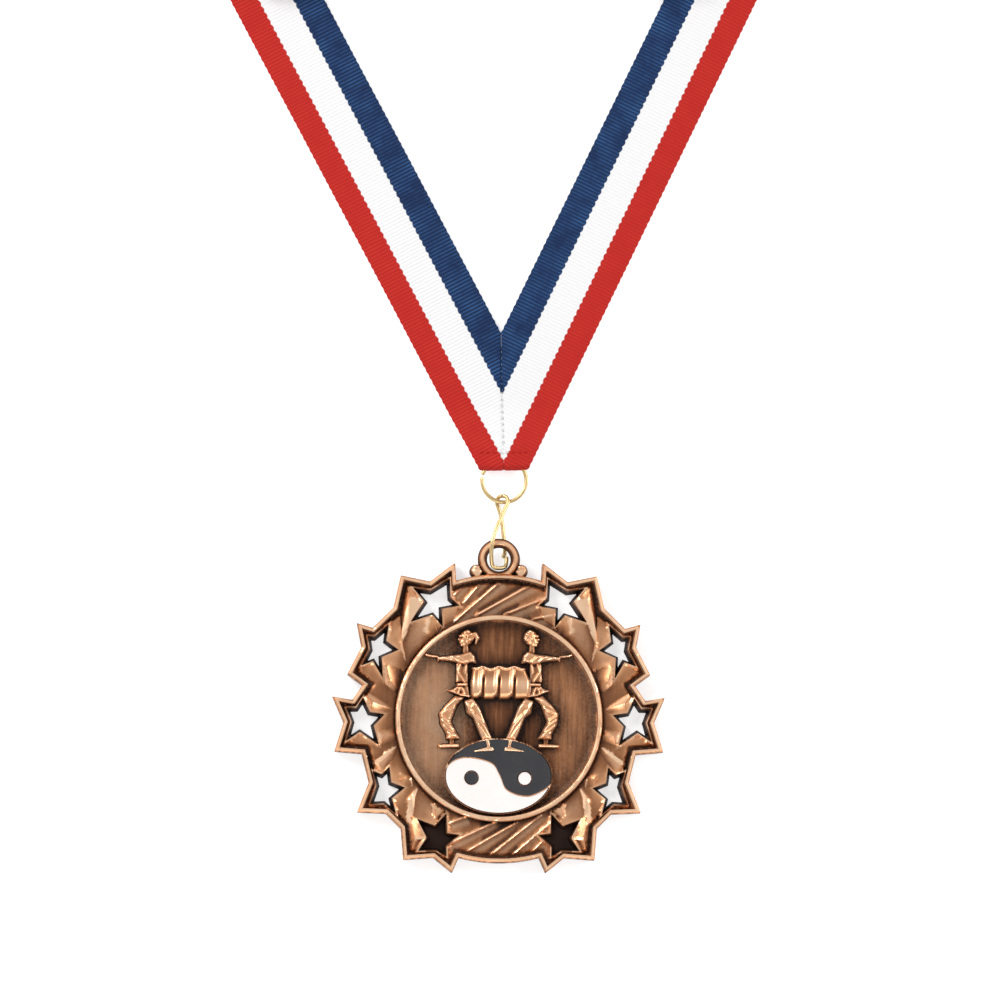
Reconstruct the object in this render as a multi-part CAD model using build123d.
from build123d import *
import os
from math import cos, radians, sin, tan

# A finisher medal lying on its back, with its wire clip, jump ring and neck ribbon laid out above it.
# Millimetres. Origin: centre of the medal's flat back. +Y: towards the ribbon. +Z: out of the face.

# Medal casting
PLATE_TOP = 1.7            # floor between the border, the stars and the ring ridge
RIDGE_TOP = 3.0            # border ridge and ring ridge
FIELD_TOP = 1.4            # floor of the round centre field
RELIEF_TOP = 2.7           # figures and fist
BORDER_WIDTH = 0.72
RING_INNER_R = 16.8
RING_OUTER_R = 17.7
STAR_TIP_R = 4.3
STAR_NOTCH_R = 2.1
BLIND_STAR_FLOOR = 0.9
CUT_CLEAR = 1.0            # how far a cutting tool stands past the surface it cuts
ROOT = 0.1                 # how far a raised shape is sunk into the floor under it

# Outline: the right half from the top arc's end to the bottom arc's end, mirrored for the left
TOP_ARC_MID = (0, 24.7)
BOTTOM_ARC_MID = (0, -24.7)
OUTLINE_RIGHT = [
    (7.3, 23.6), (7.45, 26.75), (11.8, 23.4), (16.8, 24.45), (18.05, 18.9), (21.6, 15.4),
    (24.3, 16.2), (23.5, 12.2), (25.9, 7.5), (23.3, 5.6), (25.0, 3.1), (28.5, 3.7),
    (26.55, -0.75), (28.1, -5.7), (23.4, -6.1), (22.2, -11.0), (24.2, -16.1), (19.3, -16.3),
    (16.7, -18.9), (16.3, -24.2), (11.2, -23.8), (8.0, -26.4), (6.85, -23.8),
]

# Star cut-outs on the left side: centre x, centre y, direction of one tip in degrees
THROUGH_STARS = [(-11.0, 19.4, 68), (-20.4, 11.4, 62), (-23.0, -0.75, 74), (-19.5, -12.2, 70)]
BLIND_STAR = (-10.3, -19.9, 75)

# Hanging loop cast with the medal
LOOP_Y = 27.3
LOOP_Z = 2.05
LOOP_TUBE_R = 2.825        # radius of the tube's centre line
LOOP_TUBE_HALF = 0.8       # radius of the tube itself
LOOP_FOOT_TOP = 1.8        # the plate under the loop, between its two knobs
LOOP_FOOT_AT = (0, 24.2)
LOOP_FOOT_SIZE = (7.4, 1.6)
KNOB_AT = (3.8, 25.32)     # the right knob; the left one mirrors it
KNOB_R = 1.2

# Figures, right side: each stroke's start, end, start width and end width
INNER_LEG = ((5.3, 3.1), (2.6, -3.2), 1.4, 1.6)
FIGURE_STROKES = [
    ((5.5, 13.7), (5.5, 13.5), 2.4, 2.4),       # head
    ((3.9, 13.2), (4.0, 14.2), 0.5, 0.7),       # tied-back hair
    ((5.6, 10.7), (10.3, 10.3), 1.9, 1.2),      # sleeve
    ((10.3, 10.3), (12.3, 11.0), 0.6, 0.8),     # hand
    ((6.1, 10.4), (6.2, 5.4), 1.8, 1.9),        # jacket
    ((5.6, 5.0), (8.3, 4.9), 0.8, 0.5),         # skirt
    ((6.6, 4.2), (9.7, 1.0), 1.9, 1.8),         # outer thigh
    ((9.6, 0.9), (8.0, -3.1), 1.7, 1.5),        # outer shin
    ((7.2, -4.7), (10.0, -4.7), 0.5, 0.5),      # outer foot
    INNER_LEG,
]
INNER_FOOT = [(0.8, -5.0), (1.6, -4.8), (4.4, -5.5), (4.4, -5.75), (0.8, -5.6)]

# Fist between the figures
FIST_CENTRE = (0.25, 6.0)
FIST_SIZE = (10.2, 5.8)
FIST_CORNER_R = 0.8
FINGER_GROOVES_X = (-2.9, -0.2, 2.4)
FINGER_GROOVE = (0.35, 5.0)
FINGER_GROOVE_DEPTH = 0.5

# Enamel
OVAL_CENTRE = (-0.1, -9.9)
OVAL_HALF_X = 9.2
OVAL_HALF_Y = 6.5
OVAL_RIM = 0.22
ENAMEL_FLOOR = 1.8
ENAMEL_TOP = 2.5
OVAL_RIM_TOP = 2.6
DOT_R = 1.1
DOT_WALL = 0.15
BLACK_DOT_AT = (-4.7, -10.2)
WHITE_DOT_AT = (4.4, -10.3)
WALL_HALF = 0.08           # half the thin metal wall between the two lobes
FILL_GAP = 0.02            # enamel to metal
LOBE_CAP = [(12, -11), (12, 0), (-12, 0), (-12, -9.2)]     # closes the upper lobe outside the oval
LOBE_CURVE = [
    (-9.7, -9.2), (-7.7, -7.3), (-5.0, -6.75), (-1.3, -7.7), (0.1, -9.7),
    (1.4, -12.3), (4.7, -13.35), (7.6, -12.3), (9.2, -11.0),
]

# Wire parts
WIRE_R = 0.34
RING_CENTRE = (0.95, 41.1, 1.2)
RING_R = 3.8
RING_GAP_FROM = 166        # degrees, where the ring's wire ends
RING_GAP_TO = 172
EYE_TOP = (0.67, 38.37, 1.15)
HALF_CLIP_GAP = 0.03       # between the two half clips at the top of the eye
HOOK_ROUTE = [
    (1.35, 38.37, 1.45), (1.66, 37.4, 2.05), (1.25, 36.4, 2.25), (0.5, 34.85, 2.7),
    (-0.55, 32.4, 3.55), (-1.15, 30.6, 3.95), (-1.35, 28.9, 3.75), (-1.36, 27.3, 3.1),
    (-1.1, 25.95, 2.4), (0, 25.78, 2.05), (1.15, 26.0, 1.6), (1.4, 27.0, 1.25), (1.36, 27.9, 1.15),
]
LATCH_ROUTE = [
    (0.0, 38.37, 0.75), (-0.32, 37.4, 0.34), (0.05, 36.3, 0.34), (0.5, 34.85, 0.36),
    (0.8, 32.4, 0.36), (0.95, 30.6, 0.36), (1.15, 29.2, 0.36), (1.1, 28.3, 0.36), (0.7, 27.8, 0.38),
]

# Ribbon
RIBBON_WIDTH = 14.5
RIBBON_THICK = 0.45
STRAP_BASE = 0.25          # height of the straps' underside
STRAP_ANGLE = 26.8         # half the angle between the straps
RIBBON_SWING = 1.0         # how far the whole ribbon is turned about its tip, degrees
SWING_Y = 43.85
SEAM_X = 0.85
SEAM_TOP_Y = 66.7
SEAM_GAP = 0.06
TIP_Y = 42.95              # crease that carries the jump ring
TIP_TOP_Y = 46.0
STRAP_START_Y = 46.9
TIP_LEFT_X = -2.8
TIP_RIGHT_X = 4.5
POCKET_TOP = 2.35
CREASE_HALF = 2.65         # half length of the crease, inside the jump ring
CREASE_DEPTH = 0.4
WEB_Y = 45.55              # the pocket is sewn shut from here up
BUNDLE_Y = 128.0
BUNDLE_BASE = 0.45
BUNDLE_TOP = 5.25
BUNDLE_GAP = 0.1
BAND_HALF = 4.0
BAND_THICK = 0.35
BAND_GAP = 0.1

STITCH_PITCH = 1.1
STITCH_LENGTH = 0.8
STITCH_R = 0.14
TIP_STITCH_Y = 45.78
TIP_STITCH_X = (-3.4, 5.1)
MITRE_STITCH_CLEAR = (0.2, 1.0)     # from the straps' foot, and from the notch of the V


def slope():
    return tan(radians(STRAP_ANGLE))


def run_width():
    """Width of a leaning strap, measured along X."""
    return RIBBON_WIDTH / cos(radians(STRAP_ANGLE))


def mirror_x(points):
    return [(-x, y) for x, y in points]


def outline_face():
    right = OUTLINE_RIGHT
    left = mirror_x(right)
    edges = [
        Polyline(*right),
        Polyline(*left),
        ThreePointArc(left[0], TOP_ARC_MID, right[0]),
        ThreePointArc(left[-1], BOTTOM_ARC_MID, right[-1]),
    ]
    return make_face(edges)


def star_points(x, y, angle):
    points = []
    for k in range(10):
        radius = STAR_TIP_R if k % 2 == 0 else STAR_NOTCH_R
        turn = radians(angle + 36 * k)
        points.append((x + radius * cos(turn), y + radius * sin(turn)))
    return points


def star_face(x, y, angle):
    return make_face(Polyline(*star_points(x, y, angle), close=True))


def prism(face, low, high):
    return Pos(0, 0, low) * extrude(face, high - low)


def disc(x, y, radius):
    return Pos(x, y, 0) * Circle(radius)


def limb(start, end, start_width, end_width):
    """A tapered stroke with round ends, as a flat face."""
    circles = disc(*start, start_width / 2).edges() + disc(*end, end_width / 2).edges()
    return make_hull(circles)


def figure_faces(side):
    """One standing fighter; side is -1 for the left figure and 1 for the right."""
    faces = []
    for start, end, start_width, end_width in FIGURE_STROKES:
        start_at = (side * start[0], start[1])
        end_at = (side * end[0], end[1])
        faces.append(limb(start_at, end_at, start_width, end_width))
    return faces


def inner_foot(side):
    """The inner foot, which stands up through the black enamel."""
    return make_face(Polyline(*[(side * x, y) for x, y in INNER_FOOT], close=True))


def fist():
    """Four closed fingers side by side between the figures."""
    block = Pos(*FIST_CENTRE) * RectangleRounded(*FIST_SIZE, FIST_CORNER_R)
    solid = prism(block, FIELD_TOP, RELIEF_TOP)
    groove_y = FIST_CENTRE[1] - (FIST_SIZE[1] - FINGER_GROOVE[1]) / 2
    for x in FINGER_GROOVES_X:
        groove = Pos(x, groove_y) * Rectangle(*FINGER_GROOVE)
        solid -= prism(groove, RELIEF_TOP - FINGER_GROOVE_DEPTH, RELIEF_TOP + CUT_CLEAR)
    return solid


def oval_face(shrink):
    return Pos(*OVAL_CENTRE) * Ellipse(OVAL_HALF_X - shrink, OVAL_HALF_Y - shrink)


def above_curve(shift):
    """Everything above the line between the lobes, moved by shift along Y."""
    curve = Spline([(x, y + shift) for x, y in LOBE_CURVE])
    cap = Polyline(curve @ 1, *LOBE_CAP, curve @ 0)
    return make_face([curve, cap])


def lobe_black(gap):
    shrink = OVAL_RIM + gap
    face = oval_face(shrink) & above_curve(WALL_HALF + gap)
    return face - disc(*WHITE_DOT_AT, DOT_R + DOT_WALL + gap)


def lobe_white(gap):
    shrink = OVAL_RIM + gap
    face = oval_face(shrink) - above_curve(-WALL_HALF - gap)
    return face - disc(*BLACK_DOT_AT, DOT_R + DOT_WALL + gap)


def feet(grow):
    faces = [inner_foot(-1), inner_foot(1)]
    return [offset(face, grow) if grow else face for face in faces]


def hanging_loop():
    return Pos(0, LOOP_Y, LOOP_Z) * (Rot(0, 0, 90) * Torus(LOOP_TUBE_R, LOOP_TUBE_HALF))


def medal_casting():
    outline = outline_face()
    solid = prism(outline, 0, PLATE_TOP)
    solid += prism(outline - offset(outline, -BORDER_WIDTH), 0, RIDGE_TOP)
    solid -= prism(Circle(RING_INNER_R), FIELD_TOP, RIDGE_TOP + CUT_CLEAR)
    solid += prism(Circle(RING_OUTER_R) - Circle(RING_INNER_R), 0, RIDGE_TOP)
    solid += fist()
    for side in (-1, 1):
        for face in figure_faces(side):
            solid += prism(face, FIELD_TOP - ROOT, RELIEF_TOP)
    solid += prism(oval_face(0), FIELD_TOP - ROOT, OVAL_RIM_TOP)
    solid -= prism(lobe_black(0), ENAMEL_FLOOR, RIDGE_TOP + CUT_CLEAR)
    solid -= prism(lobe_white(0), ENAMEL_FLOOR, RIDGE_TOP + CUT_CLEAR)
    for x, y in (BLACK_DOT_AT, WHITE_DOT_AT):
        solid -= prism(disc(x, y, DOT_R), ENAMEL_FLOOR, RIDGE_TOP + CUT_CLEAR)
    for face in feet(0):
        solid += prism(face, ENAMEL_FLOOR - ROOT, RELIEF_TOP)
    for x, y, angle in THROUGH_STARS:
        for side in (1, -1):
            hole = star_face(side * x, y, angle if side == 1 else 180 - angle)
            solid -= prism(hole, -CUT_CLEAR, RIDGE_TOP + CUT_CLEAR)
    for side in (1, -1):
        x, y, angle = BLIND_STAR
        recess = star_face(side * x, y, angle if side == 1 else 180 - angle)
        solid -= prism(recess, BLIND_STAR_FLOOR, RIDGE_TOP + CUT_CLEAR)
    for side in (1, -1):
        solid += prism(disc(side * KNOB_AT[0], KNOB_AT[1], KNOB_R), 0, RIDGE_TOP)
    solid += prism(Pos(*LOOP_FOOT_AT) * Rectangle(*LOOP_FOOT_SIZE), 0, LOOP_FOOT_TOP)
    solid += hanging_loop()
    return solid


def enamel_black_lobe():
    solid = prism(lobe_black(FILL_GAP), ENAMEL_FLOOR, ENAMEL_TOP)
    for face in feet(FILL_GAP):
        solid -= prism(face, ENAMEL_FLOOR - CUT_CLEAR, ENAMEL_TOP + CUT_CLEAR)
    knee, ankle, knee_width, ankle_width = INNER_LEG
    for side in (-1, 1):
        start_at = (side * knee[0], knee[1])
        end_at = (side * ankle[0], ankle[1])
        leg = limb(start_at, end_at, knee_width + 2 * FILL_GAP, ankle_width + 2 * FILL_GAP)
        solid -= prism(leg, ENAMEL_FLOOR - CUT_CLEAR, ENAMEL_TOP + CUT_CLEAR)
    return solid


def enamel_white_lobe():
    return prism(lobe_white(FILL_GAP), ENAMEL_FLOOR, ENAMEL_TOP)


def enamel_dot(centre):
    return prism(disc(*centre, DOT_R - FILL_GAP), ENAMEL_FLOOR, ENAMEL_TOP)


def route_radii(points):
    """One corner radius for each inner point: 0.45 of the shorter run over the tangent of half the turn."""
    radii = []
    for before, corner, after in zip(points, points[1:], points[2:]):
        run_in = Vector(*corner) - Vector(*before)
        run_out = Vector(*after) - Vector(*corner)
        turn = radians(run_in.get_angle(run_out))
        radii.append(0.45 * min(run_in.length, run_out.length) / tan(turn / 2))
    return radii


def wire_solid(points):
    """Round wire along a route of straight runs and tangent arcs."""
    path = FilletPolyline(*points, radius=route_radii(points))
    start = Plane(origin=path @ 0, z_dir=path % 0)
    return sweep(start * Circle(WIRE_R), path=path)


def eye_start(direction):
    return (EYE_TOP[0] + direction * HALF_CLIP_GAP / 2, EYE_TOP[1], EYE_TOP[2])


def jump_ring():
    section = Pos(RING_R, 0, 0) * (Rot(-90, 0, 0) * Circle(WIRE_R))
    turn = 360 - (RING_GAP_TO - RING_GAP_FROM)
    ring = revolve(Rot(0, 0, RING_GAP_TO) * section, Axis.Z, turn)
    return Pos(*RING_CENTRE) * ring


def swung(shape):
    """A ribbon piece turned about the tip with the rest of the ribbon."""
    return shape.rotate(Axis((SEAM_X, SWING_Y, 0), (0, 0, 1)), RIBBON_SWING)


def strap_x(y, side, across):
    """X of a strap at height y; across is 0 on its inner edge and 1 on its outer edge."""
    lean = (y - SEAM_TOP_Y) * slope()
    return SEAM_X + side * (lean + across * run_width())


def ribbon_strap(side):
    seam = SEAM_X + side * SEAM_GAP / 2
    end_y = BUNDLE_Y - BUNDLE_GAP
    points = [
        (seam, STRAP_START_Y),
        (seam, SEAM_TOP_Y + SEAM_GAP),
        (strap_x(end_y, side, 0), end_y),
        (strap_x(end_y, side, 1), end_y),
        (strap_x(STRAP_START_Y, side, 1), STRAP_START_Y),
    ]
    face = make_face(Polyline(*points, close=True))
    return prism(face, STRAP_BASE, STRAP_BASE + RIBBON_THICK)


def tip_outline(low_y, high_y):
    def edge(y, side):
        foot = TIP_LEFT_X if side < 0 else TIP_RIGHT_X
        return foot + side * (y - TIP_Y) * slope()

    corners = [(edge(low_y, -1), low_y), (edge(low_y, 1), low_y)]
    corners += [(edge(high_y, 1), high_y), (edge(high_y, -1), high_y)]
    return make_face(Polyline(*corners, close=True))


def ribbon_tip_fold():
    """Two layers of ribbon joined by the crease under the ring and by the sewn web above it."""
    layer = tip_outline(TIP_Y, TIP_TOP_Y)
    solid = prism(layer, 0, RIBBON_THICK)
    solid += prism(layer, POCKET_TOP - RIBBON_THICK, POCKET_TOP)
    solid += prism(tip_outline(WEB_Y, TIP_TOP_Y), 0, POCKET_TOP)
    crease = Pos(RING_CENTRE[0], TIP_Y + CREASE_DEPTH / 2) * Rectangle(2 * CREASE_HALF, CREASE_DEPTH)
    solid += prism(crease, 0, POCKET_TOP)
    return solid


def bundle_outline():
    """The folded stack: its slanted ends are the mitre folds where the straps turn inwards."""
    top_y = BUNDLE_Y + RIBBON_WIDTH
    lean = RIBBON_WIDTH / tan(radians(45 + STRAP_ANGLE / 2))
    right = strap_x(BUNDLE_Y, 1, 1)
    left = strap_x(BUNDLE_Y, -1, 1)
    points = [(left, BUNDLE_Y), (right, BUNDLE_Y), (right - lean, top_y), (left + lean, top_y)]
    return make_face(Polyline(*points, close=True))


def ribbon_bundle():
    return prism(bundle_outline(), BUNDLE_BASE, BUNDLE_TOP)


def bundle_band():
    """A flat sleeve round the middle of the stack."""
    low_y = BUNDLE_Y - BAND_GAP
    depth = RIBBON_WIDTH + 2 * BAND_GAP
    height = BUNDLE_TOP - BUNDLE_BASE + 2 * BAND_GAP
    middle = Pos(SEAM_X, low_y + depth / 2, (BUNDLE_TOP + BUNDLE_BASE) / 2)
    outer = middle * Box(2 * BAND_HALF, depth + 2 * BAND_THICK, height + 2 * BAND_THICK)
    inner = middle * Box(4 * BAND_HALF, depth, height)
    return outer - inner


def stitch_row(start, end, height):
    """Separate round stitches end to end along a straight line."""
    line_length = (Vector(*end) - Vector(*start)).length
    count = int(line_length / STITCH_PITCH)
    heading = (Vector(*end) - Vector(*start)).normalized()
    stitches = []
    for k in range(count):
        at = Vector(*start) + heading * (STITCH_PITCH * (k + 0.5))
        plane = Plane(origin=(at.X, at.Y, height), z_dir=(heading.X, heading.Y, 0))
        stitches.append(plane * Cylinder(STITCH_R, STITCH_LENGTH))
    return Compound(children=stitches)


def mitre_stitching():
    height = STRAP_BASE + RIBBON_THICK + STITCH_R
    low_y = STRAP_START_Y + MITRE_STITCH_CLEAR[0]
    high_y = SEAM_TOP_Y - MITRE_STITCH_CLEAR[1]
    return stitch_row((SEAM_X, low_y), (SEAM_X, high_y), height)


def tip_stitching():
    left_x, right_x = TIP_STITCH_X
    return stitch_row((left_x, TIP_STITCH_Y), (right_x, TIP_STITCH_Y), POCKET_TOP + STITCH_R)


def main():
    parts = {
        "medal_casting": medal_casting(),
        "enamel_black_lobe": enamel_black_lobe(),
        "enamel_white_lobe": enamel_white_lobe(),
        "enamel_black_dot": enamel_dot(BLACK_DOT_AT),
        "enamel_white_dot": enamel_dot(WHITE_DOT_AT),
        "clip_hook_wire": wire_solid([eye_start(1)] + HOOK_ROUTE),
        "clip_latch_wire": wire_solid([eye_start(-1)] + LATCH_ROUTE),
        "jump_ring": jump_ring(),
        "ribbon_left_strap": swung(ribbon_strap(-1)),
        "ribbon_right_strap": swung(ribbon_strap(1)),
        "ribbon_tip_fold": swung(ribbon_tip_fold()),
        "ribbon_bundle": swung(ribbon_bundle()),
        "bundle_band": swung(bundle_band()),
        "mitre_stitching": swung(mitre_stitching()),
        "tip_stitching": swung(tip_stitching()),
    }
    os.makedirs("parts", exist_ok=True)
    for name, shape in parts.items():
        export_step(shape, f"parts/{name}.step")


main()
